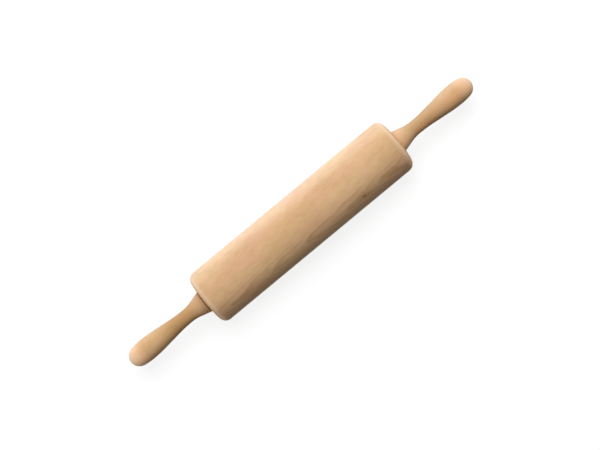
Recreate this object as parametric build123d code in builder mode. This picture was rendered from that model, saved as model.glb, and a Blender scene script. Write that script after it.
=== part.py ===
from build123d import *
import os
from math import atan, cos, hypot, radians, sin, tan

# A beech rolling pin. The barrel runs on two shielded ball bearings round a
# steel axle, and a turned handle is screwed onto each end of the axle.
#
# Millimetres. X runs along the axle, Z is up, and the origin is the point of
# the worktop below the middle of the barrel.

# Barrel
BARREL_LENGTH = 250.0
BARREL_DIAMETER = 60.0
BARREL_EDGE_RADIUS = 8.0
BORE_CLEARANCE = 2.0  # of the barrel's bore round the bearings' inner rings
RUNNING_GAP = 0.6  # between the barrel's end and the handle's face

# Handle, turned from one blank. The steepness shares say how much steeper than
# the straight line between two key diameters the middle of a slope is.
HANDLE_LENGTH = 96.4
FLARE_DIAMETER = 25.0
FLARE_EDGE_CHAMFER = 0.4
WAIST_DIAMETER = 15.2
WAIST_FROM_FACE = 23.2
SWELL_DIAMETER = 23.3
SWELL_TO_TIP = 19.3
SHOULDER_RADIUS = 52.0  # of the curve from the thickest point to the round tip
FLARE_STEEPNESS_SHARE = 1.27
TAPER_STEEPNESS_SHARE = 1.5

# Ball bearing of the common 6 x 19 x 6 size, with six balls
BEARING_BORE = 6.0
BEARING_OUTSIDE = 19.0
BEARING_WIDTH = 6.0
BEARING_RECESS = 0.5  # below the barrel's end
BALL_DIAMETER = 3.5
BALL_COUNT = 6
BALL_PLAY = 0.04  # between a ball and the bottom of each raceway
RACEWAY_PLAY = 0.08  # by which a raceway's radius is larger than the ball's
LAND_OFFSET = 1.3  # from the pitch circle to the lands beside the raceways
SHIELD_THICKNESS = 0.3
SHIELD_SEAT = 0.5  # step in the outer ring that holds the shield
SHIELD_GAP = 0.15  # between the shield and the inner ring
SHIELD_PLACE_SHARE = 0.68  # of the room between the balls and the ring's end
CAGE_WALL = 1.5
CAGE_BACK_SHARE = 0.4  # of the same room
CAGE_LIP_SHARE = 0.7  # of the ball's radius, past its middle
CAGE_NOTCH_WIDTH = 1.1
POCKET_PLAY = 0.1

# Axle, and what joins it to the handles
AXLE_SHOULDER = 1.0  # step that each bearing's inner ring is held against
AXLE_TAIL = 14.0  # how far the axle goes on into the handle past the insert
AXLE_CHAMFER = 0.8
INSERT_WALL = 1.5
INSERT_LENGTH = 14.0
SPACER_MARGIN = 0.4  # by which the spacer stays inside the inner ring's land
GLUE_ROOM = 0.5  # past the end of each piece that is let into a handle
DRILL_POINT_ANGLE = 118.0
FIT_PLAY = 0.02  # radial play of pieces that are pressed or glued together

SIDES = {"left": -1, "right": 1}

axle_height = BARREL_DIAMETER / 2
ball_radius = BALL_DIAMETER / 2
pitch_radius = (BEARING_BORE + BEARING_OUTSIDE) / 4
raceway_radius = ball_radius + RACEWAY_PLAY
inner_land = pitch_radius - LAND_OFFSET
outer_land = pitch_radius + LAND_OFFSET
side_room = (BEARING_WIDTH - BALL_DIAMETER) / 2
shield_place = ball_radius + side_room * SHIELD_PLACE_SHARE
shield_seat_radius = outer_land + SHIELD_SEAT
bearing_depth = BEARING_RECESS + BEARING_WIDTH
journal_radius = BEARING_BORE / 2 - FIT_PLAY
insert_radius = BEARING_BORE / 2 + INSERT_WALL

os.makedirs("parts", exist_ok=True)


def end_line(side):
    """The axle's line, from the middle of one end of the barrel outwards."""
    return Axis((side * BARREL_LENGTH / 2, 0, axle_height), (side, 0, 0))


def section(side, distance=0):
    """Plane for half sections: x is the way out along the axle, from a point
    that far past the barrel's end, and y is the distance from the axle."""
    start = end_line(side).position + Vector(side * distance, 0, 0)
    return Plane(origin=start, x_dir=(side, 0, 0), z_dir=(0, -side, 0))


def across(side, distance=0):
    """Plane square to the axle, facing outwards, that far past the barrel's end."""
    start = end_line(side).position + Vector(side * distance, 0, 0)
    return Plane(origin=start, x_dir=(0, 0, 1), z_dir=(side, 0, 0))


def make_barrel():
    """Turned beech barrel, bored through, with a bearing seat in each end."""
    with BuildPart() as barrel:
        with BuildSketch(across(-1)):
            Circle(BARREL_DIAMETER / 2)
        extrude(amount=-BARREL_LENGTH)
        fillet(barrel.edges().filter_by(GeomType.CIRCLE), BARREL_EDGE_RADIUS)
        for side in SIDES.values():
            with Locations(across(side).location):
                CounterBoreHole(
                    radius=inner_land + BORE_CLEARANCE,
                    counter_bore_radius=BEARING_OUTSIDE / 2 + FIT_PLAY,
                    counter_bore_depth=bearing_depth,
                )
    barrel.part.label = "barrel"
    export_step(barrel.part, "parts/barrel.step")


def make_axle():
    """Steel rod, stepped down at each end to a bearing journal that goes on as
    the thread in the handle."""
    with BuildPart() as axle:
        with BuildSketch(across(-1, -bearing_depth)):
            Circle(journal_radius + AXLE_SHOULDER)
        extrude(amount=2 * bearing_depth - BARREL_LENGTH)
        for side in SIDES.values():
            with BuildSketch(across(side, -bearing_depth)):
                Circle(journal_radius)
            extrude(amount=bearing_depth + RUNNING_GAP + INSERT_LENGTH + AXLE_TAIL)
        rims = axle.edges().filter_by(GeomType.CIRCLE).group_by(Axis.X)
        chamfer(rims[0] + rims[-1], AXLE_CHAMFER)
    axle.part.label = "axle"
    export_step(axle.part, "parts/axle.step")


def slope_join(run, rise, steepness_share):
    """A slope runs straight and then levels out in a round arc, whose level
    end lies run along and rise down from the slope's start. Gives how far back
    and how far up from that level end the arc and the straight meet."""
    angle = atan(rise / run * steepness_share)
    arc_radius = (run * tan(angle) - rise) / (1 / cos(angle) - 1)
    return arc_radius * sin(angle), arc_radius * (1 - cos(angle))


def tip_join(length, radius):
    """The shoulder arc leaves the thickest point level and runs into a round
    tip centred on the axle's line. Gives how far along from the thickest point
    the two meet, and how far from the axle."""
    overhang = SHOULDER_RADIUS - length
    tip_radius = (2 * SHOULDER_RADIUS * radius - radius**2 - length**2) / (2 * overhang)
    along = length - tip_radius
    down = SHOULDER_RADIUS - radius
    reach = tip_radius / hypot(along, down)
    return along * (1 + reach), down * reach


def make_handle(name, side):
    """Turned beech handle: a flare that covers the bearing, a waist, a long
    taper up to the swell and a round tip, drilled for the insert and axle."""
    flare = (0, FLARE_DIAMETER / 2)
    waist = (WAIST_FROM_FACE, WAIST_DIAMETER / 2)
    swell = (HANDLE_LENGTH - SWELL_TO_TIP, SWELL_DIAMETER / 2)
    tip = (HANDLE_LENGTH, 0)

    back, up = slope_join(waist[0], flare[1] - waist[1], FLARE_STEEPNESS_SHARE)
    cove_start = (waist[0] - back, waist[1] + up)
    half_run = (swell[0] - waist[0]) / 2
    half_rise = (swell[1] - waist[1]) / 2
    back, up = slope_join(half_run, half_rise, TAPER_STEEPNESS_SHARE)
    taper_start = (waist[0] + back, waist[1] + up)
    taper_end = (swell[0] - back, swell[1] - up)
    along, up = tip_join(SWELL_TO_TIP, swell[1])
    shoulder_end = (swell[0] + along, up)

    insert_hole = insert_radius + FIT_PLAY
    axle_hole = journal_radius + FIT_PLAY
    insert_depth = INSERT_LENGTH + GLUE_ROOM
    axle_depth = INSERT_LENGTH + AXLE_TAIL + GLUE_ROOM
    point_depth = axle_depth + axle_hole / tan(radians(DRILL_POINT_ANGLE / 2))

    with BuildPart() as handle:
        with BuildSketch(section(side, RUNNING_GAP)) as profile:
            with BuildLine():
                Line(flare, cove_start)
                TangentArc(waist, cove_start, tangent=(-1, 0))
                TangentArc(waist, taper_start, tangent=(1, 0))
                Line(taper_start, taper_end)
                TangentArc(swell, taper_end, tangent=(-1, 0))
                TangentArc(swell, shoulder_end, tangent=(1, 0))
                TangentArc(tip, shoulder_end, tangent=(0, 1))
                Polyline(
                    tip,
                    (point_depth, 0),
                    (axle_depth, axle_hole),
                    (insert_depth, axle_hole),
                    (insert_depth, insert_hole),
                    (0, insert_hole),
                    flare,
                )
            make_face()
            chamfer(profile.vertices().sort_by(Axis.Y)[-1], FLARE_EDGE_CHAMFER)
        revolve(axis=end_line(side))
    handle.part.label = f"{name}_handle"
    export_step(handle.part, f"parts/{name}_handle.step")


def make_insert(name, side):
    """Brass threaded insert, glued into the handle flush with its face."""
    with BuildPart() as insert:
        with BuildSketch(across(side, RUNNING_GAP)):
            Circle(insert_radius)
            Circle(BEARING_BORE / 2, mode=Mode.SUBTRACT)
        extrude(amount=INSERT_LENGTH)
    insert.part.label = f"{name}_handle_insert"
    export_step(insert.part, f"parts/{name}_handle_insert.step")


def make_spacer(name, side):
    """Washer that reaches from the bearing's inner ring to the insert, so that
    the wood of the handle stays off the barrel."""
    with BuildPart() as spacer:
        with BuildSketch(across(side, -BEARING_RECESS)):
            Circle(inner_land - SPACER_MARGIN)
            Circle(BEARING_BORE / 2, mode=Mode.SUBTRACT)
        extrude(amount=BEARING_RECESS + RUNNING_GAP)
    spacer.part.label = f"{name}_spacer"
    export_step(spacer.part, f"parts/{name}_spacer.step")


def ball_plane(side):
    """Plane square to the axle through the middle of one bearing's balls."""
    return across(side, -BEARING_RECESS - BEARING_WIDTH / 2)


def ring_section(side):
    """Half-section plane with its origin in the middle of one bearing."""
    return section(side, -BEARING_RECESS - BEARING_WIDTH / 2)


def make_outer_ring(name, side):
    """Outer ring, with its raceway and the step that the shield sits in."""
    radius = BEARING_OUTSIDE / 2
    raceway_centre = pitch_radius + ball_radius + BALL_PLAY - raceway_radius
    with BuildPart() as outer_ring:
        with BuildSketch(ring_section(side)):
            with BuildLine():
                Polyline(
                    (-BEARING_WIDTH / 2, outer_land),
                    (-BEARING_WIDTH / 2, radius),
                    (BEARING_WIDTH / 2, radius),
                    (BEARING_WIDTH / 2, shield_seat_radius),
                    (shield_place, shield_seat_radius),
                    (shield_place, outer_land),
                    close=True,
                )
            make_face()
            with Locations((0, raceway_centre)):
                Circle(raceway_radius, mode=Mode.SUBTRACT)
        revolve(axis=end_line(side))
    outer_ring.part.label = f"{name}_bearing_outer_ring"
    export_step(outer_ring.part, f"parts/{name}_bearing_outer_ring.step")


def make_inner_ring(name, side):
    """Inner ring, held between the axle's shoulder and the spacer."""
    raceway_centre = pitch_radius - ball_radius - BALL_PLAY + raceway_radius
    with BuildPart() as inner_ring:
        with BuildSketch(ring_section(side)):
            with Locations((0, (BEARING_BORE / 2 + inner_land) / 2)):
                Rectangle(BEARING_WIDTH, inner_land - BEARING_BORE / 2)
            with Locations((0, raceway_centre)):
                Circle(raceway_radius, mode=Mode.SUBTRACT)
        revolve(axis=end_line(side))
    inner_ring.part.label = f"{name}_bearing_inner_ring"
    export_step(inner_ring.part, f"parts/{name}_bearing_inner_ring.step")


def make_shield(name, side):
    """Thin steel ring that keeps flour out of the bearing."""
    with BuildPart() as shield:
        with BuildSketch(ball_plane(side).offset(shield_place)):
            Circle(shield_seat_radius - FIT_PLAY)
            Circle(inner_land + SHIELD_GAP, mode=Mode.SUBTRACT)
        extrude(amount=SHIELD_THICKNESS)
    shield.part.label = f"{name}_bearing_shield"
    export_step(shield.part, f"parts/{name}_bearing_shield.step")


def make_cage(name, side):
    """Crown cage: a ring behind the balls whose horns reach round them, split
    between each two balls by a notch that lets the horns spring open."""
    back = ball_radius + side_room * CAGE_BACK_SHARE
    lip = ball_radius * CAGE_LIP_SHARE
    half_step = 180 / BALL_COUNT
    with BuildPart(ball_plane(side)) as cage:
        with BuildSketch(ball_plane(side).offset(-lip)):
            Circle(pitch_radius + CAGE_WALL / 2)
            Circle(pitch_radius - CAGE_WALL / 2, mode=Mode.SUBTRACT)
        extrude(amount=lip + back)
        with PolarLocations(pitch_radius, BALL_COUNT):
            Cylinder(
                ball_radius + POCKET_PLAY,
                2 * CAGE_WALL,
                rotation=(0, 90, 0),
                mode=Mode.SUBTRACT,
            )
        with PolarLocations(pitch_radius, BALL_COUNT, start_angle=half_step):
            Box(2 * CAGE_WALL, CAGE_NOTCH_WIDTH, 2 * lip, mode=Mode.SUBTRACT)
    cage.part.label = f"{name}_bearing_cage"
    export_step(cage.part, f"parts/{name}_bearing_cage.step")


def make_balls(name, side):
    """Steel balls, spaced round the raceways, each a piece of its own."""
    for number in range(BALL_COUNT):
        angle = radians(360 * number / BALL_COUNT)
        spot = (pitch_radius * cos(angle), pitch_radius * sin(angle), 0)
        with BuildPart(Plane(ball_plane(side).from_local_coords(spot))) as ball:
            Sphere(ball_radius)
        ball.part.label = f"{name}_ball_{number + 1}"
        export_step(ball.part, f"parts/{name}_ball_{number + 1}.step")


make_barrel()
make_axle()
for side_name, way_out in SIDES.items():
    make_handle(side_name, way_out)
    make_insert(side_name, way_out)
    make_spacer(side_name, way_out)
    make_outer_ring(side_name, way_out)
    make_inner_ring(side_name, way_out)
    make_shield(side_name, way_out)
    make_cage(side_name, way_out)
    make_balls(side_name, way_out)
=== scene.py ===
import bpy
from math import asin, atan, cos, hypot, pi, radians, sin, tan
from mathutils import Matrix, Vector


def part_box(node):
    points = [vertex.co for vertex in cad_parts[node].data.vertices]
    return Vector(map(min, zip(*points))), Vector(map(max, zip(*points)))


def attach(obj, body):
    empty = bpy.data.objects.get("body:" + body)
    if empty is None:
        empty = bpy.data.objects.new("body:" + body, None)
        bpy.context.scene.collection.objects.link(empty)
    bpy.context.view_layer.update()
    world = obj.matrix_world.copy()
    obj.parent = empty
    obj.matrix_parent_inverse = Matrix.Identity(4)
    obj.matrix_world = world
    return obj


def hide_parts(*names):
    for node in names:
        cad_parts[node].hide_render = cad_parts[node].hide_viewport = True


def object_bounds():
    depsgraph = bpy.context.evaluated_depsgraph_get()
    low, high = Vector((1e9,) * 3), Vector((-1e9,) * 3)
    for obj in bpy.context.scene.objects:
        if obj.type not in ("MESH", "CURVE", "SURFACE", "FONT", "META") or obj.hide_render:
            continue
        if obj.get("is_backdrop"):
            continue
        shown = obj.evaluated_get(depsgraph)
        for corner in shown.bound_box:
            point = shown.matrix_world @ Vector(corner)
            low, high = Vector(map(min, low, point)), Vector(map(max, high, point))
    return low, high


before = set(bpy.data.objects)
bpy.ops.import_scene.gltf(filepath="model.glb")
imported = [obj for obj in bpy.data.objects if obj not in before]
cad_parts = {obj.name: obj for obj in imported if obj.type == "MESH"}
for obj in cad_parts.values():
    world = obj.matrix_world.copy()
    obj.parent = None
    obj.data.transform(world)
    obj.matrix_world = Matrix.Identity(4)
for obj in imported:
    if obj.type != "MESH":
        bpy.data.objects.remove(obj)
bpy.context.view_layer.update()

# The barrel
# One straight-grained piece of beech, turned on a lathe and bored through, with
# a seat for a bearing in each end. Its ends are rounded over and hand-sanded.

barrel_low, barrel_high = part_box("barrel")
axle_height = (barrel_low.z + barrel_high.z) / 2
barrel_radius = (barrel_high.z - barrel_low.z) / 2
barrel_end = barrel_high.x
end_rounding = 0.008
seat_radius = 0.00952
seat_depth = 0.0065
seat_mouth_bevel = 0.0004
bore_radius = 0.00695
barrel_unevenness = 0.00006

barrel_early_wood = (0.82, 0.54, 0.295, 1)
barrel_late_wood = (0.54, 0.292, 0.118, 1)
barrel_warm_wood = (0.82, 0.508, 0.303, 1)
barrel_rays = (0.53, 0.275, 0.12, 1)
fleck_centre = (0.064, -0.0207, 0.0217)
fleck_size = (0.0036, 0.0019, 0.0019)
fleck_brown = (0.34, 0.11, 0.055, 1)


def add(tree, kind, sockets=None, **settings):
    """A new node. Sockets are given by name or number, as a value or as the
    socket of another node that is linked in."""
    made = tree.nodes.new(kind)
    for name, value in settings.items():
        setattr(made, name, value)
    for name, value in (sockets or {}).items():
        if isinstance(value, bpy.types.NodeSocket):
            tree.links.new(value, made.inputs[name])
        else:
            made.inputs[name].default_value = value
    return made


def in_use(sockets, name):
    """The socket in use, where a node has one of that name for each kind of
    data."""
    return [socket for socket in sockets if socket.name == name and socket.enabled][0]


def calc(tree, operation, *values):
    """The result of a sum on numbers."""
    made = add(tree, "ShaderNodeMath", dict(enumerate(values)), operation=operation)
    return made.outputs[0]


def vector_calc(tree, operation, *values, scale=None):
    """The result of a sum on vectors, which is a number for a length or a dot
    product. Scale goes with the operation of that name."""
    sockets = dict(enumerate(values))
    if scale is not None:
        sockets["Scale"] = scale
    made = add(tree, "ShaderNodeVectorMath", sockets, operation=operation)
    return made.outputs["Value" if operation in ("LENGTH", "DOT_PRODUCT") else "Vector"]


def between(tree, value, low, high):
    """How far a value is from low to high, from 0 to 1, with soft ends."""
    sockets = {"Value": value, "From Min": low, "From Max": high}
    made = add(tree, "ShaderNodeMapRange", sockets, interpolation_type="SMOOTHSTEP")
    return made.outputs["Result"]


def mixed(tree, share, first, second, blend_type="MIX"):
    """A colour between two others, or one laid over the other. The node's
    colour sockets share their names with others, so they go by number."""
    factor, first_colour, second_colour, result_colour = 0, 6, 7, 2
    sockets = {factor: share, first_colour: first, second_colour: second}
    made = add(tree, "ShaderNodeMix", sockets, data_type="RGBA", blend_type=blend_type)
    return made.outputs[result_colour]


def new_group(name, kind, inputs, outputs):
    """An empty node group with named sockets, and its input and output nodes."""
    group = bpy.data.node_groups.new(name, kind)
    for in_out, sockets in (("INPUT", inputs), ("OUTPUT", outputs)):
        for label, socket in sockets.items():
            group.interface.new_socket(label, in_out=in_out, socket_type=f"NodeSocket{socket}")
    return group, group.nodes.new("NodeGroupInput"), group.nodes.new("NodeGroupOutput")


def new_object(name, data):
    """An object at the origin, put into the scene."""
    made = bpy.data.objects.new(name, data)
    bpy.context.scene.collection.objects.link(made)
    return made


def new_material(name):
    """A material made of nodes, with its tree and its shader."""
    material = bpy.data.materials.new(name)
    material.use_nodes = True
    return material, material.node_tree, material.node_tree.nodes["Principled BSDF"]


def from_axle(tree):
    """Where a point of the piece lies from the middle of the axle."""
    sockets = {"Location": (0, 0, -axle_height)}
    sockets["Vector"] = add(tree, "ShaderNodeTexCoord").outputs["Object"]
    return add(tree, "ShaderNodeMapping", sockets).outputs[0]


def bumped(tree, shader, height, strength, depth):
    """Gives a shader the fine relief of its surface."""
    bump = add(tree, "ShaderNodeBump", {"Height": height, "Strength": strength, "Distance": depth})
    tree.links.new(bump.outputs[0], shader.inputs["Normal"])


def lathe_group():
    """Turns an outline, drawn with X along the axle and Z as the distance from
    it, into a solid of revolution."""
    hollows_per_metre = 35.0
    weld_distance = 2e-6
    inputs = {
        "Outline": "Geometry",
        "Segments": "Int",
        "Axle Height": "Float",
        "Unevenness": "Float",
        "Finish": "Material",
    }
    tree, given, result = new_group("lathe", "GeometryNodeTree", inputs, {"Piece": "Geometry"})

    # A grid gets a row for each point of the outline and a column for each
    # segment round the axle. The half keeps a row's number clear of rounding.
    line = add(tree, "GeometryNodeCurveToMesh", {"Curve": given.outputs["Outline"]}).outputs[0]
    size = add(tree, "GeometryNodeAttributeDomainSize", {"Geometry": line})
    columns = calc(tree, "ADD", given.outputs["Segments"], 1)
    sides = {"Vertices X": size.outputs["Point Count"], "Vertices Y": columns}
    grid = add(tree, "GeometryNodeMeshGrid", sides).outputs["Mesh"]
    index = add(tree, "GeometryNodeInputIndex").outputs[0]
    row = calc(tree, "FLOOR", calc(tree, "DIVIDE", calc(tree, "ADD", index, 0.5), columns))
    column = calc(tree, "SUBTRACT", index, calc(tree, "MULTIPLY", row, columns))
    share = calc(tree, "DIVIDE", column, given.outputs["Segments"])
    angle = calc(tree, "MULTIPLY", share, 2 * pi)

    # Each point goes to its place round the axle, and the seam is welded.
    place = add(tree, "GeometryNodeInputPosition").outputs[0]
    at_row = {"Geometry": line, "Index": row}
    sample = add(tree, "GeometryNodeSampleIndex", at_row, data_type="FLOAT_VECTOR")
    tree.links.new(place, in_use(sample.inputs, "Value"))
    spot = add(tree, "ShaderNodeSeparateXYZ", {0: in_use(sample.outputs, "Value")}).outputs
    across = calc(tree, "MULTIPLY", spot["Z"], calc(tree, "COSINE", angle))
    up = calc(tree, "MULTIPLY", spot["Z"], calc(tree, "SINE", angle))
    height = calc(tree, "ADD", up, given.outputs["Axle Height"])
    round_axle = add(tree, "ShaderNodeCombineXYZ", {0: spot["X"], 1: across, 2: height}).outputs[0]
    moved = {"Geometry": grid, "Position": round_axle}
    placed = add(tree, "GeometryNodeSetPosition", moved).outputs[0]
    seams = {"Geometry": placed, "Distance": weld_distance}
    closed = add(tree, "GeometryNodeMergeByDistance", seams).outputs[0]

    # The chisel and the sandpaper leave shallow hollows, inwards only.
    waves = {"Scale": hollows_per_metre, "Detail": 1.0}
    noise = add(tree, "ShaderNodeTexNoise", waves).outputs[0]
    depth = calc(tree, "MULTIPLY", noise, given.outputs["Unevenness"])
    normal = add(tree, "GeometryNodeInputNormal").outputs[0]
    sunk = vector_calc(tree, "SCALE", normal, scale=calc(tree, "MULTIPLY", depth, -1.0))
    uneven = add(tree, "GeometryNodeSetPosition", {"Geometry": closed, "Offset": sunk}).outputs[0]

    # The finish reads where the wood shows the ends of its fibres.
    ends = calc(tree, "ABSOLUTE", add(tree, "ShaderNodeSeparateXYZ", {0: normal}).outputs["X"])
    note = {"Geometry": uneven, "Name": "fibre_ends"}
    marked = add(tree, "GeometryNodeStoreNamedAttribute", note)
    tree.links.new(ends, in_use(marked.inputs, "Value"))
    smooth = add(tree, "GeometryNodeSetShadeSmooth", {"Geometry": marked.outputs[0]}).outputs[0]
    real = add(tree, "GeometryNodeRealizeInstances", {"Geometry": smooth}).outputs[0]
    material = {"Geometry": real, "Material": given.outputs["Finish"]}
    painted = add(tree, "GeometryNodeSetMaterial", material)
    tree.links.new(painted.outputs[0], result.inputs["Piece"])
    return tree


def rounded(corners):
    """Stations of an outline that runs through corners, given as x, distance
    from the axle and rounding. A station is x, distance and heading."""
    no_corner = 1e-6
    stations = []
    spots = [Vector((x, r)) for x, r, _ in corners]
    last = len(corners) - 1
    for number, (spot, (_, _, rounding)) in enumerate(zip(spots, corners)):
        arriving = spot - spots[number - 1] if number else spots[1] - spot
        leaving = spots[number + 1] - spot if number < last else arriving
        turn = arriving.angle(leaving)
        run = 0 if turn < no_corner else rounding * tan(turn / 2)
        for way, shift in ((arriving, -run), (leaving, run)):
            stations.append((spot + way.normalized() * shift, way.normalized()))
    return stations


def turned(name, stations, finish, segments, arc_steps, unevenness):
    """A piece turned on the lathe. Between two stations the outline is a line
    where the heading stays, and else one arc."""
    longest_step = 0.004
    no_length = 1e-7
    no_bend = 1e-4
    crease_angle = radians(40)
    points = [[stations[0][0], stations[0][0], stations[0][0]]]
    for (start, leaving), (end, arriving) in zip(stations, stations[1:]):
        length = (end - start).length
        if length < no_length:
            continue
        bend = leaving.angle(arriving)
        if bend < no_bend:
            parts = max(1, round(length / longest_step))
            for part in range(1, parts + 1):
                spot = start.lerp(end, part / parts)
                points.append([spot, spot, spot])
            continue
        arc_radius = length / (2 * sin(bend / 2))
        reach = arc_radius * 4 / 3 * tan(bend / 4)
        points[-1][2] = start + leaving * reach
        points.append([end, end - arriving * reach, end])
    curve = bpy.data.curves.new(name, "CURVE")
    curve.dimensions = "3D"
    curve.resolution_u = arc_steps
    spline = curve.splines.new("BEZIER")
    spline.bezier_points.add(len(points) - 1)
    for point, places in zip(spline.bezier_points, points):
        point.co, point.handle_left, point.handle_right = [(spot.x, 0, spot.y) for spot in places]
        point.handle_left_type = "VECTOR" if places[1] == places[0] else "FREE"
        point.handle_right_type = "VECTOR" if places[2] == places[0] else "FREE"
    outline = new_object(name + "_outline", curve)
    modifier = outline.modifiers.new("lathe", "NODES")
    modifier.node_group = lathe
    settings = {
        "Segments": segments,
        "Axle Height": axle_height,
        "Unevenness": unevenness,
        "Finish": finish,
    }
    for item in lathe.interface.items_tree:
        if item.in_out == "INPUT" and item.name in settings:
            modifier[item.identifier] = settings[item.name]
    evaluated = outline.evaluated_get(bpy.context.evaluated_depsgraph_get())
    mesh = bpy.data.meshes.new_from_object(evaluated)
    mesh.set_sharp_from_angle(angle=crease_angle)
    bpy.data.objects.remove(outline)
    return new_object(name, mesh)


def figure_group():
    """The figure of beech, worked out in the solid wood: annual rings round a
    pith that lies outside the piece, rays, fibres and slow changes of tone."""
    usual_distance = 0.14
    sways = (((9, 30, 30), 0.0016), ((50, 110, 110), 0.0019), ((260, 500, 500), 0.0004))
    inputs = {
        "Vector": "Vector",
        "Pith": "Vector",
        "Lean": "Vector",
        "Ring Width": "Float",
        "Seed": "Float",
    }
    names = ("Late Wood", "Rays", "Fibre", "Streaks", "Mottle", "Warmth", "Depth", "Flat Sawn")
    outputs = {label: "Float" for label in names}
    tree, given, result = new_group("beech figure", "ShaderNodeTree", inputs, outputs)
    spot = given.outputs["Vector"]
    along = add(tree, "ShaderNodeSeparateXYZ", {0: spot}).outputs["X"]

    def noise(vector, scale, detail, roughness=0.5):
        sockets = {
            "Vector": vector_calc(tree, "MULTIPLY", vector, scale),
            "W": given.outputs["Seed"],
            "Scale": 1.0,
            "Detail": detail,
            "Roughness": roughness,
        }
        return add(tree, "ShaderNodeTexNoise", sockets, noise_dimensions="4D")

    # The pith leans away along the piece, and the tree grew with a slight sway.
    lean = vector_calc(tree, "SCALE", given.outputs["Lean"], scale=along)
    pith = vector_calc(tree, "ADD", given.outputs["Pith"], lean)
    from_pith = vector_calc(tree, "SUBTRACT", spot, pith)
    for scale, swing in sways:
        colour = noise(spot, scale, 2.0).outputs["Color"]
        sway = vector_calc(tree, "SUBTRACT", colour, (0.5, 0.5, 0.5))
        sway = vector_calc(tree, "MULTIPLY", sway, (0, swing, swing))
        from_pith = vector_calc(tree, "ADD", from_pith, sway)
    from_pith = vector_calc(tree, "MULTIPLY", from_pith, (0, 1, 1))
    out = vector_calc(tree, "LENGTH", from_pith)
    parts = add(tree, "ShaderNodeSeparateXYZ", {0: from_pith}).outputs
    turn = calc(tree, "ARCTAN2", parts["Z"], parts["Y"])
    arc = calc(tree, "MULTIPLY", turn, usual_distance)

    # Years differ in width and in how dark their late wood is, which rises
    # slowly through the year and stops short at its end.
    years = add(tree, "ShaderNodeCombineXYZ", {0: out}).outputs[0]
    uneven = noise(years, (260, 0, 0), 1.0).outputs[0]
    rings = calc(tree, "DIVIDE", out, given.outputs["Ring Width"])
    rings = calc(tree, "MULTIPLY_ADD", uneven, 0.6, rings)
    number = calc(tree, "ADD", calc(tree, "FLOOR", rings), given.outputs["Seed"])
    random = add(tree, "ShaderNodeTexWhiteNoise", {"W": number}, noise_dimensions="1D")
    within = calc(tree, "FRACT", rings)
    rise = between(tree, within, 0.15, 0.85)
    late = calc(tree, "MULTIPLY", rise, between(tree, within, 1.0, 0.82))
    year_tone = calc(tree, "MULTIPLY_ADD", random.outputs["Value"], 0.5, 0.5)
    late = calc(tree, "MULTIPLY", late, year_tone)
    patches = between(tree, noise(spot, (38, 110, 110), 2.0).outputs[0], 0.36, 0.58)
    late = calc(tree, "MULTIPLY", late, calc(tree, "MULTIPLY_ADD", patches, 0.5, 0.5))

    # Rays are short spindles along the trunk, and only some of them show.
    in_log = add(tree, "ShaderNodeCombineXYZ", {0: along, 1: arc, 2: out}).outputs[0]
    ray_place = vector_calc(tree, "MULTIPLY", in_log, (420, 1500, 230))
    cells = add(tree, "ShaderNodeTexVoronoi", {"Vector": ray_place, "Scale": 1.0}).outputs
    some = add(tree, "ShaderNodeSeparateXYZ", {0: cells["Color"]}).outputs["X"]
    spindles = between(tree, cells["Distance"], 0.45, 0.15)
    rays = calc(tree, "MULTIPLY", spindles, between(tree, some, 0.3, 0.7))

    fibre = noise(in_log, (70, 2200, 2200), 4.0, 0.65).outputs[0]
    cloud_colour = noise(spot, (13, 42, 42), 3.0).outputs["Color"]
    clouds = add(tree, "ShaderNodeSeparateXYZ", {0: cloud_colour}).outputs
    mottle = noise(in_log, (95, 190, 190), 2.0).outputs[0]
    streaks = between(tree, noise(in_log, (22, 620, 620), 2.0).outputs[0], 0.60, 0.74)

    # Where the surface lies along the rings, it is flat-sawn.
    outward = vector_calc(tree, "NORMALIZE", vector_calc(tree, "MULTIPLY", spot, (0, 1, 1)))
    across_rings = vector_calc(tree, "NORMALIZE", from_pith)
    flat = calc(tree, "ABSOLUTE", vector_calc(tree, "DOT_PRODUCT", outward, across_rings))
    marks = (late, rays, fibre, streaks, mottle, clouds["X"], clouds["Y"], flat)
    for label, mark in zip(outputs, marks):
        tree.links.new(mark, result.inputs[label])
    return tree


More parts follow.
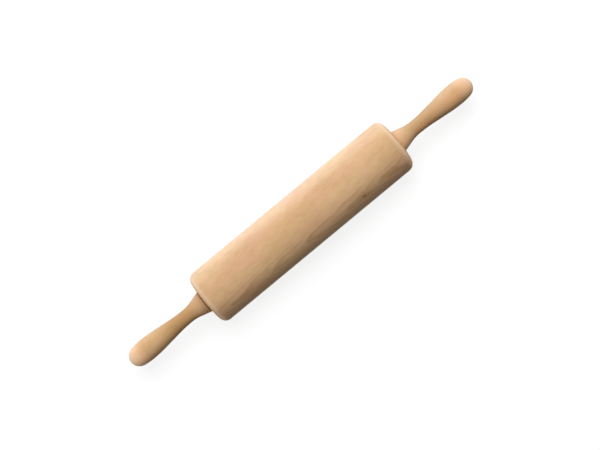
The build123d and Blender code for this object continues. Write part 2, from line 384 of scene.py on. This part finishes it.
def beech(name, colours, pith, lean, ring_width, figured, seed, end_tones, overlay=None, fleck=None):
    """Beech sanded to a matt finish. Colours are those of the early wood, the
    late wood, the warmer wood and the rays. End tones are how pale the rounded
    edges are, partly from sanding and partly a painted highlight, and how dull
    the end faces are. Further marks, given as a function, are laid over the
    colour, such as a handle's darker waist, its painted shade and its painted
    highlight, and a fleck is a stained spot's centre, size and colour."""
    quarter_sawn_rays = (0.80, 0.56, 0.36, 1)
    sanded_and_highlit_edges = (0.90, 0.68, 0.48, 1)
    end_grain = (0.74, 0.62, 0.50, 1)
    flat_sawn_falloff = 14.0
    least_ringed = 0.05
    end_face_ringed = 0.7
    grain_depth = 0.00003
    early, late, warm, ray = colours
    material, tree, shader = new_material(name)
    place = from_axle(tree)
    growth = {"Vector": place, "Pith": pith, "Lean": lean, "Ring Width": ring_width, "Seed": seed}
    marks = add(tree, "ShaderNodeGroup", growth, node_tree=figure).outputs

    ends = add(tree, "ShaderNodeAttribute", attribute_name="fibre_ends").outputs["Fac"]
    end_face = between(tree, ends, 0.60, 1.0)
    edge = between(tree, ends, 0.05, 0.75)
    flat_sawn = calc(tree, "POWER", marks["Flat Sawn"], flat_sawn_falloff)
    streak = between(tree, marks["Fibre"], 0.25, 0.75)

    colour = mixed(tree, between(tree, marks["Warmth"], 0.38, 0.62), early, warm)
    for label, low, high, most in (("Depth", 0.40, 0.68, 0.28), ("Mottle", 0.40, 0.66, 0.17)):
        share = calc(tree, "MULTIPLY", between(tree, marks[label], low, high), most)
        colour = mixed(tree, share, colour, late)
    ringed = calc(tree, "MULTIPLY_ADD", flat_sawn, figured, least_ringed)
    ringed = calc(tree, "MULTIPLY_ADD", end_face, end_face_ringed, ringed)
    colour = mixed(tree, calc(tree, "MULTIPLY", marks["Late Wood"], ringed), colour, late)
    ray_colour = mixed(tree, flat_sawn, quarter_sawn_rays, ray)
    colour = mixed(tree, calc(tree, "MULTIPLY", marks["Rays"], 0.35), colour, ray_colour)
    colour = mixed(tree, streak, mixed(tree, 0.10, colour, late), colour)
    colour = mixed(tree, calc(tree, "MULTIPLY", marks["Streaks"], 0.22), colour, late)
    if overlay:
        colour = overlay(tree, place, colour)

    # The rounded edges are mixed paler: partly sanded wood, partly a painted highlight where they
    # turn towards the light.
    pale, dull = end_tones
    on_edge = calc(tree, "MULTIPLY", calc(tree, "MULTIPLY_ADD", end_face, -dull, 1.0), pale)
    colour = mixed(tree, calc(tree, "MULTIPLY", edge, on_edge), colour, sanded_and_highlit_edges)
    dulled = calc(tree, "MULTIPLY", end_face, dull)
    colour = mixed(tree, dulled, colour, end_grain, "MULTIPLY")
    if fleck:
        centre, size, stain = fleck
        away = vector_calc(tree, "DIVIDE", vector_calc(tree, "SUBTRACT", place, centre), size)
        away = vector_calc(tree, "LENGTH", away)
        ragged = calc(tree, "MULTIPLY_ADD", marks["Fibre"], 0.8, away)
        stained = calc(tree, "MULTIPLY", between(tree, ragged, 1.4, 0.6), 0.65)
        stained = calc(tree, "MULTIPLY_ADD", between(tree, ragged, 3.4, 0.8), 0.22, stained)
        colour = mixed(tree, stained, colour, stain)
    tree.links.new(colour, shader.inputs["Base Color"])

    roughness = calc(tree, "MULTIPLY_ADD", streak, 0.10, 0.55)
    roughness = calc(tree, "MULTIPLY_ADD", marks["Rays"], -0.10, roughness)
    tree.links.new(roughness, shader.inputs["Roughness"])
    shader.inputs["Specular IOR Level"].default_value = 0.05
    height = calc(tree, "MULTIPLY_ADD", marks["Rays"], -0.4, streak)
    height = calc(tree, "MULTIPLY_ADD", marks["Late Wood"], 0.4, height)
    bumped(tree, shader, height, 0.3, grain_depth)
    return material


lathe = lathe_group()
figure = figure_group()
barrel_wood = beech(
    "barrel_beech",
    colours=(barrel_early_wood, barrel_late_wood, barrel_warm_wood, barrel_rays),
    pith=(0, -0.0980, 0.1127),
    lean=(0, 0.0203, -0.0234),
    ring_width=0.00138,
    figured=0.82,
    seed=4.0,
    end_tones=(0.5, 0.75),
    fleck=(fleck_centre, fleck_size, fleck_brown),
)
seat_floor = barrel_end - seat_depth
right_half = [
    (barrel_end, barrel_radius, end_rounding),
    (barrel_end, seat_radius + seat_mouth_bevel, 0),
    (barrel_end - seat_mouth_bevel, seat_radius, 0),
    (seat_floor, seat_radius, 0),
    (seat_floor, bore_radius, 0),
]
left_half = [(-x, radius, rounding) for x, radius, rounding in right_half]
barrel_corners = left_half[1:] + right_half[::-1] + left_half[:2]
barrel = turned(
    "barrel_turned",
    rounded(barrel_corners),
    barrel_wood,
    segments=256,
    arc_steps=14,
    unevenness=barrel_unevenness,
)
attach(barrel, "roller")
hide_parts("barrel")

# The bearings
# A ball bearing sits in each end of the barrel: two ground steel rings, six
# balls in a nylon cage pressed in from the back, and a thin steel shield.

balls_per_bearing = 6
grinding_depth = 0.00001
mould_grain_depth = 0.00002


def ground_steel_group():
    """The finish of ground steel: fine lines round the axle and faint clouds
    in the polish."""
    inputs = {"Vector": "Vector", "Line Scale": "Float"}
    outputs = {"Lines": "Float", "Clouds": "Float"}
    tree, given, result = new_group("ground steel", "ShaderNodeTree", inputs, outputs)
    spot = add(tree, "ShaderNodeSeparateXYZ", {0: given.outputs["Vector"]}).outputs
    squares = [calc(tree, "POWER", spot[way], 2.0) for way in ("Y", "Z")]
    radius = calc(tree, "SQRT", calc(tree, "ADD", *squares))
    lines_at = add(tree, "ShaderNodeCombineXYZ", {0: spot["X"], 1: radius}).outputs[0]
    scaled = vector_calc(tree, "SCALE", lines_at, scale=given.outputs["Line Scale"])
    fine = {"Vector": scaled, "Scale": 1.0, "Detail": 3.0}
    lines = add(tree, "ShaderNodeTexNoise", fine).outputs[0]
    broad = {"Vector": given.outputs["Vector"], "Scale": 260.0}
    clouds = add(tree, "ShaderNodeTexNoise", broad).outputs[0]
    tree.links.new(lines, result.inputs["Lines"])
    tree.links.new(clouds, result.inputs["Clouds"])
    return tree


def metal(name, bright, dull, smoothest, roughest, line_scale):
    """Bare metal with the marks of its grinding or turning."""
    material, tree, shader = new_material(name)
    ground = {"Vector": from_axle(tree), "Line Scale": line_scale}
    marks = add(tree, "ShaderNodeGroup", ground, node_tree=ground_steel).outputs
    clouds = between(tree, marks["Clouds"], 0.3, 0.7)
    tree.links.new(mixed(tree, clouds, bright, dull), shader.inputs["Base Color"])
    shader.inputs["Metallic"].default_value = 1.0
    rough = calc(tree, "MULTIPLY_ADD", marks["Lines"], roughest - smoothest, smoothest)
    rough = calc(tree, "MULTIPLY_ADD", clouds, 0.06, rough)
    tree.links.new(rough, shader.inputs["Roughness"])
    bumped(tree, shader, marks["Lines"], 0.25, grinding_depth)
    return material


def moulded_nylon(name, pale, deep):
    """Nylon as it leaves the mould, faintly cloudy and finely grained."""
    material, tree, shader = new_material(name)
    place = add(tree, "ShaderNodeTexCoord").outputs["Object"]
    broad = {"Vector": place, "Scale": 420.0, "Detail": 3.0}
    flow = add(tree, "ShaderNodeTexNoise", broad).outputs[0]
    fine = {"Vector": place, "Scale": 5200.0, "Detail": 2.0}
    grain = add(tree, "ShaderNodeTexNoise", fine).outputs[0]
    colour = mixed(tree, between(tree, flow, 0.35, 0.65), pale, deep)
    tree.links.new(colour, shader.inputs["Base Color"])
    rough = calc(tree, "MULTIPLY_ADD", grain, 0.25, 0.35)
    tree.links.new(rough, shader.inputs["Roughness"])
    bumped(tree, shader, grain, 0.2, mould_grain_depth)
    return material


def finished(node, material):
    """Gives a CAD node its material."""
    for slot in bpy.data.objects[node].material_slots:
        slot.material = material


ground_steel = ground_steel_group()
ring_steel = metal(
    "ring_steel",
    bright=(0.66, 0.67, 0.68, 1),
    dull=(0.56, 0.57, 0.58, 1),
    smoothest=0.12,
    roughest=0.26,
    line_scale=9000.0,
)
ball_steel = metal(
    "ball_steel",
    bright=(0.72, 0.73, 0.74, 1),
    dull=(0.66, 0.67, 0.68, 1),
    smoothest=0.05,
    roughest=0.10,
    line_scale=9000.0,
)
shield_steel = metal(
    "shield_steel",
    bright=(0.60, 0.60, 0.60, 1),
    dull=(0.50, 0.50, 0.51, 1),
    smoothest=0.24,
    roughest=0.40,
    line_scale=6000.0,
)
cage_nylon = moulded_nylon("cage_nylon", (0.70, 0.66, 0.56, 1), (0.62, 0.57, 0.46, 1))
for side in ("left", "right"):
    finished(f"{side}_bearing_outer_ring", ring_steel)
    finished(f"{side}_bearing_inner_ring", ring_steel)
    finished(f"{side}_bearing_shield", shield_steel)
    finished(f"{side}_bearing_cage", cage_nylon)
    for number in range(1, balls_per_bearing + 1):
        finished(f"{side}_ball_{number}", ball_steel)

# The axle
# One turned steel rod runs through the barrel from handle to handle. A steel
# washer on each end holds the inner ring off the handle's face.

axle_steel = metal(
    "axle_steel",
    bright=(0.62, 0.61, 0.60, 1),
    dull=(0.50, 0.49, 0.48, 1),
    smoothest=0.20,
    roughest=0.38,
    line_scale=5000.0,
)
finished("axle", axle_steel)
for side in ("left", "right"):
    finished(f"{side}_spacer", axle_steel)

# The handle inserts
# A threaded brass bush is glued into the face of each handle, and the axle's
# end is screwed into it.

insert_brass = metal(
    "insert_brass",
    bright=(0.80, 0.60, 0.27, 1),
    dull=(0.66, 0.47, 0.20, 1),
    smoothest=0.18,
    roughest=0.34,
    line_scale=5000.0,
)
for side in ("left", "right"):
    finished(f"{side}_handle_insert", insert_brass)

# The handles
# Each is turned from its own beech blank and drilled from its face for the
# brass insert and the axle. Its waist is darker, and it has painted shade at
# the joint with the barrel and a painted highlight on its tip.

insert_hole_radius = 0.00452
insert_hole_depth = 0.0145
axle_hole_radius = 0.003
axle_hole_depth = 0.0285
drill_point_length = 0.0018
flare_radius = 0.0125
flare_edge = 0.0004
flare_steepness = 1.27
waist_from_face = 0.0232
waist_radius = 0.0076
taper_steepness = 1.5
swell_to_tip = 0.0193
swell_radius = 0.01165
shoulder_radius = 0.052
handle_unevenness = 0.00004

# For each blank: its wood colours and pith, how much darker its waist is, how strong its painted
# shade at the joint and its painted highlight on the tip are, and how pale its edges are, partly
# sanding and partly painted highlight.
blanks = {
    "left": {
        "early wood": (0.79, 0.522, 0.283, 1),
        "warm wood": (0.85, 0.48, 0.235, 1),
        "pith": (0, 0.11, -0.02),
        "held": 1.0,
        "joint_shade": 0.75,
        "pale_edges": 0.35,
        "tip_highlight": 0.8,
    },
    "right": {
        "early wood": (0.77, 0.498, 0.272, 1),
        "warm wood": (0.85, 0.462, 0.222, 1),
        "pith": (0, -0.10, -0.03),
        "held": 0.6,
        "joint_shade": 0.0,
        "pale_edges": 0.5,
        "tip_highlight": 0.6,
    },
}
handle_late_wood = (0.58, 0.315, 0.132, 1)
handle_rays = (0.48, 0.25, 0.115, 1)
# A darker, warmer colour multiplied in at the handles' waists.
waist_darkening = (0.80, 0.74, 0.63, 1)
# Painted shade for the gap at the joint and the barrel's shadow on the flare.
painted_joint_shade = (0.30, 0.20, 0.12, 1)
# Painted highlight for the handles' tips.
painted_tip_highlight = (0.96, 0.62, 0.375, 1)


def slope(run, rise, steepness):
    """The heading of a straight slope and the run and rise of the arc at its
    end, where a rise over a run has a steeper middle than an even slope."""
    angle = atan(rise / run * steepness)
    arc_radius = (run * tan(angle) - rise) / (1 / cos(angle) - 1)
    return angle, arc_radius * sin(angle), arc_radius * (1 - cos(angle))


def handle_stations(side, face, length):
    """The outline from the hole's point, out over the face and along the
    handle's curve to the tip."""
    swell = length - swell_to_tip
    drilled = [
        (axle_hole_depth + drill_point_length, 0, 0),
        (axle_hole_depth, axle_hole_radius, 0),
        (insert_hole_depth, axle_hole_radius, 0),
        (insert_hole_depth, insert_hole_radius, 0),
        (0, insert_hole_radius, 0),
        (0, flare_radius - flare_edge, 0),
    ]
    fall, back, up = slope(waist_from_face, flare_radius - waist_radius, flare_steepness)
    half_run = (swell - waist_from_face) / 2
    half_rise = (swell_radius - waist_radius) / 2
    rise, ahead, lift = slope(half_run, half_rise, taper_steepness)

    # The round tip meets the shoulder's arc with no corner.
    overhang = shoulder_radius - swell_to_tip
    chord = 2 * shoulder_radius * swell_radius - swell_radius**2 - swell_to_tip**2
    tip_radius = chord / (2 * overhang)
    centre_run = swell_to_tip - tip_radius
    centre_drop = shoulder_radius - swell_radius
    reach = tip_radius / hypot(centre_run, centre_drop)
    shoulder_run = centre_run * (1 + reach)
    headings = [
        (flare_edge, flare_radius, -fall),
        (waist_from_face - back, waist_radius + up, -fall),
        (waist_from_face, waist_radius, 0),
        (waist_from_face + ahead, waist_radius + lift, rise),
        (swell - ahead, swell_radius - lift, rise),
        (swell, swell_radius, 0),
        (swell + shoulder_run, centre_drop * reach, -asin(shoulder_run / shoulder_radius)),
        (length, 0, -pi / 2),
    ]
    stations = rounded(drilled)
    stations += [(Vector((u, r)), Vector((cos(turn), sin(turn)))) for u, r, turn in headings]
    if side > 0:
        stations.reverse()
    return [
        (Vector((side * (face + spot.x), spot.y)), Vector((-way.x, -side * way.y)))
        for spot, way in stations
    ]


def handle_overlay_marks(face, tip, blank):
    """Marks laid over a handle's colour: a darker, warmer waist, painted shade in
    the joint with the barrel and on the flare beside it, and a painted highlight
    on the tip."""
    darkest_radius, plain_radius = 0.0080, 0.0118
    line_inner, line_outer = 0.0006, 0.0022
    flare_shade_length = 0.015
    highlight_start, highlight_full = 0.022, 0.008

    def laid_over(tree, place, colour):
        radius = vector_calc(tree, "LENGTH", vector_calc(tree, "MULTIPLY", place, (0, 1, 1)))
        # The thinner the handle, up to the waist, the darker and warmer its colour.
        slim = between(tree, radius, plain_radius, darkest_radius)
        at_waist = calc(tree, "MULTIPLY", slim, blank["held"])
        colour = mixed(tree, at_waist, colour, waist_darkening, "MULTIPLY")
        along = add(tree, "ShaderNodeSeparateXYZ", {0: place}).outputs["X"]
        along = calc(tree, "ABSOLUTE", along)
        # Painted shade: a dark line in the gap at the joint and a soft shadow of the barrel over
        # the flare.
        line = between(tree, along, face + line_outer, face + line_inner)
        flare_shade = between(tree, along, face + flare_shade_length, face)
        at_joint = calc(tree, "MULTIPLY_ADD", flare_shade, 0.5, line)
        at_joint = calc(tree, "MULTIPLY", at_joint, blank["joint_shade"])
        colour = mixed(tree, at_joint, colour, painted_joint_shade, "MULTIPLY")
        # Painted highlight: the tip is mixed towards a pale peach.
        at_tip = between(tree, along, tip - highlight_start, tip - highlight_full)
        return mixed(tree, calc(tree, "MULTIPLY", at_tip, blank["tip_highlight"]), colour, painted_tip_highlight)

    return laid_over


for name, side in (("left", -1), ("right", 1)):
    low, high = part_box(f"{name}_handle")
    face = min(abs(low.x), abs(high.x))
    length = abs(high.x - low.x)
    blank = blanks[name]
    finish = beech(
        f"{name}_handle_beech",
        colours=(blank["early wood"], handle_late_wood, blank["warm wood"], handle_rays),
        pith=blank["pith"],
        lean=(0, 0.012 * side, 0.01),
        ring_width=0.0016,
        figured=0.35,
        seed=11.0 + side,
        end_tones=(blank["pale_edges"], 0.0),
        overlay=handle_overlay_marks(face, face + length, blank),
    )
    handle = turned(
        f"{name}_handle_turned",
        handle_stations(side, face, length),
        finish,
        segments=112,
        arc_steps=20,
        unevenness=handle_unevenness,
    )
    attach(handle, "handles")
    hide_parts(f"{name}_handle")

# The floor, the light and the camera
# A plain white table, a soft lamp overhead from the far side, weak ones at both
# ends and in front, a white card on the table, and a camera looking down.

floor_half_width = 4.0
paper_grey = (0.25, 0.25, 0.25, 1)
glow_near_pin = 0.85
glow_full_from, glow_full_at = 0.5, 1.6
sky_light = 0.015
white = (1, 1, 1, 1)

half = floor_half_width
corners = [(-half, -half, 0), (half, -half, 0), (half, half, 0), (-half, half, 0)]
floor_mesh = bpy.data.meshes.new("floor")
floor_mesh.from_pydata(corners, [], [(0, 1, 2, 3)])
floor = new_object("floor", floor_mesh)


def seen_directly(tree):
    """One where the camera or a reflection looks at a surface, and nought for
    the light that it gives off."""
    path = add(tree, "ShaderNodeLightPath").outputs
    mirrored = calc(tree, "MAXIMUM", path["Is Glossy Ray"], path["Is Transmission Ray"])
    return calc(tree, "MAXIMUM", path["Is Camera Ray"], mirrored)


paper, tree, shader = new_material("floor_paper")
tree.nodes.remove(shader)
matt = add(tree, "ShaderNodeBsdfDiffuse", {"Color": paper_grey})
place = add(tree, "ShaderNodeTexCoord").outputs["Object"]
far = between(tree, vector_calc(tree, "LENGTH", place), glow_full_from, glow_full_at)
whiteness = calc(tree, "MULTIPLY_ADD", far, 1 - glow_near_pin, glow_near_pin)
strength = calc(tree, "MULTIPLY", seen_directly(tree), whiteness)
glow = add(tree, "ShaderNodeEmission", {"Color": white, "Strength": strength})
both = add(tree, "ShaderNodeAddShader", {0: matt.outputs[0], 1: glow.outputs[0]})
tree.links.new(both.outputs[0], tree.nodes["Material Output"].inputs["Surface"])
floor_mesh.materials.append(paper)
floor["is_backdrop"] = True

world = bpy.data.worlds.new("studio")
bpy.context.scene.world = world
world.use_nodes = True
tree = world.node_tree
strength = calc(tree, "MULTIPLY_ADD", seen_directly(tree), 1 - sky_light, sky_light)
tree.links.new(strength, tree.nodes["Background"].inputs["Strength"])
tree.nodes["Background"].inputs["Color"].default_value = white


def towards(azimuth, elevation):
    """The way from the pin to a place round it, given in degrees."""
    turn, rise = radians(azimuth), radians(elevation)
    return Vector((sin(turn) * cos(rise), -cos(turn) * cos(rise), sin(rise)))


def lamp(name, place, width, height, power, target=(0, 0, axle_height), colour=(1, 1, 1)):
    """A soft light that faces a target."""
    light = bpy.data.lights.new(name, "AREA")
    light.color = colour
    light.shape = "RECTANGLE"
    light.size = width
    light.size_y = height
    light.energy = power
    holder = new_object(name, light)
    holder.location = place
    holder.rotation_euler = (Vector(place) - Vector(target)).to_track_quat("Z", "Y").to_euler()
    holder.visible_camera = False


middle = Vector((0, 0, axle_height))
lamp("overhead", middle + towards(168, 62) * 1.6, width=1.2, height=1.2, power=22.8)
lamp("left_end", middle + towards(-98, 12) * 1.6, width=1.0, height=1.0, power=10)
lamp("right_end", middle + towards(98, 12) * 1.6, width=1.0, height=1.0, power=9.5)
lamp("front", middle + towards(0, 6) * 1.8, width=2.4, height=0.8, power=2.0)
lamp(
    "white_card",
    place=(0, 0.17, 0.004),
    width=0.8,
    height=0.2,
    power=2.5,
    target=(0, 0.17, 1),
    colour=(0.50, 0.66, 1),
)

camera_way = towards(-39.64, 88.5)
camera_distance = 1.31
looked_at = Vector((-0.0033, -0.0017, axle_height))
eye = bpy.data.cameras.new("camera")
eye.lens = 78
eye.sensor_width = 36
camera = new_object("camera", eye)
camera.location = looked_at + camera_way * camera_distance
camera.rotation_euler = camera_way.to_track_quat("Z", "Y").to_euler()
bpy.context.scene.camera = camera
bpy.context.scene.view_settings.view_transform = "Standard"

low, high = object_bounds()
